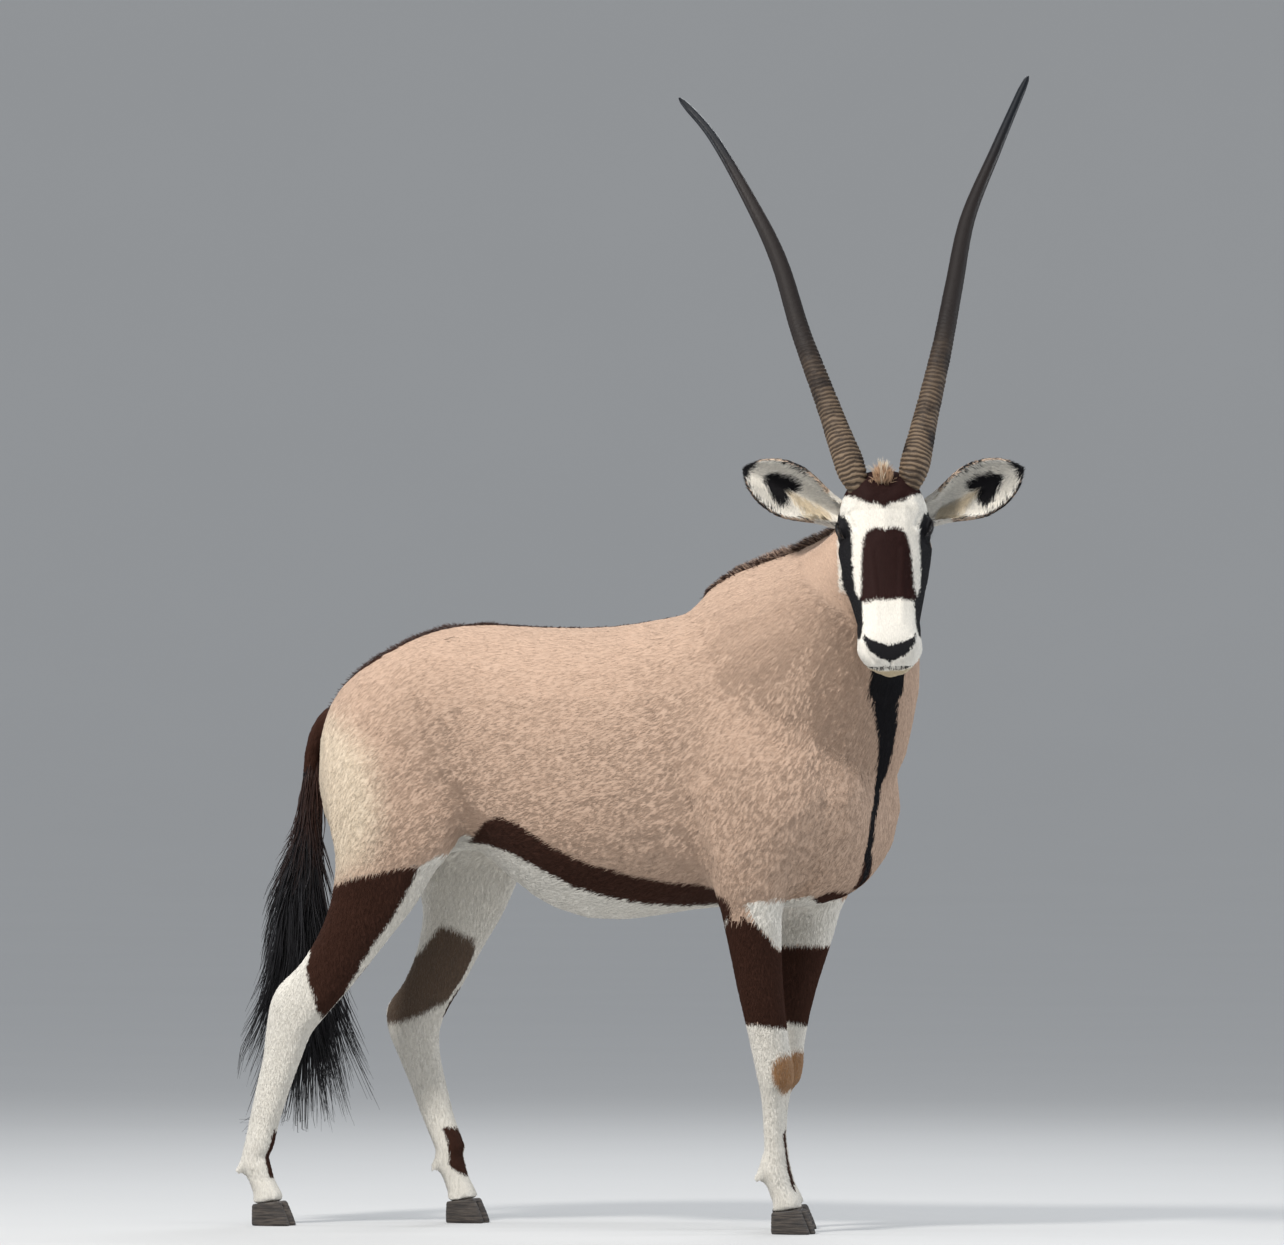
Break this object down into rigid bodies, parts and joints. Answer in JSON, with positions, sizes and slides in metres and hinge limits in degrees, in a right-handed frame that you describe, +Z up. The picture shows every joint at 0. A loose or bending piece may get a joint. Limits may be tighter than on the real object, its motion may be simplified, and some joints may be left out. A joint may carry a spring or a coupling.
{
  "type": "gemsbok",
  "caption": "Life-size still model of an adult gemsbok, standing in a slight stride with the head turned to its right, long ringed horns, short mane and a hanging tail.",
  "frame": {"origin": "on the ground under the centre of the whole animal's bounding box", "axes": "+X from tail to chest along the body, +Y to the animal's left, +Z up"},
  "size_m": [1.644, 0.7654, 2.2686],
  "materials": {
    "tan_coat": "short pinkish tan hair",
    "white_coat": "short white hair",
    "dark_coat": "short black-brown hair",
    "black_hair": "long black hair with a slight gloss",
    "horn": "keratin, ringed below and smooth above",
    "hoof": "dark keratin",
    "eye": "wet dark brown"
  },
  "bodies": {
    "root": {"ear_left": "tan_coat", "ear_right": "tan_coat", "eye_left": "eye", "eye_right": "eye", "foreleg_left_claw_inner": "hoof", "foreleg_left_claw_outer": "hoof", "foreleg_left_lower": "white_coat", "foreleg_left_upper": "dark_coat", "foreleg_right_claw_inner": "hoof", "foreleg_right_claw_outer": "hoof", "foreleg_right_lower": "white_coat", "foreleg_right_upper": "dark_coat", "head": "white_coat", "hindleg_left_claw_inner": "hoof", "hindleg_left_claw_outer": "hoof", "hindleg_left_lower": "white_coat", "hindleg_left_upper": "dark_coat", "hindleg_right_claw_inner": "hoof", "hindleg_right_claw_outer": "hoof", "hindleg_right_lower": "white_coat", "hindleg_right_upper": "dark_coat", "horn_left": "horn", "horn_right": "horn", "neck": "tan_coat", "tail_dock": "dark_coat", "tail_tuft": "black_hair", "torso": "tan_coat"}
  },
  "joints": []
}
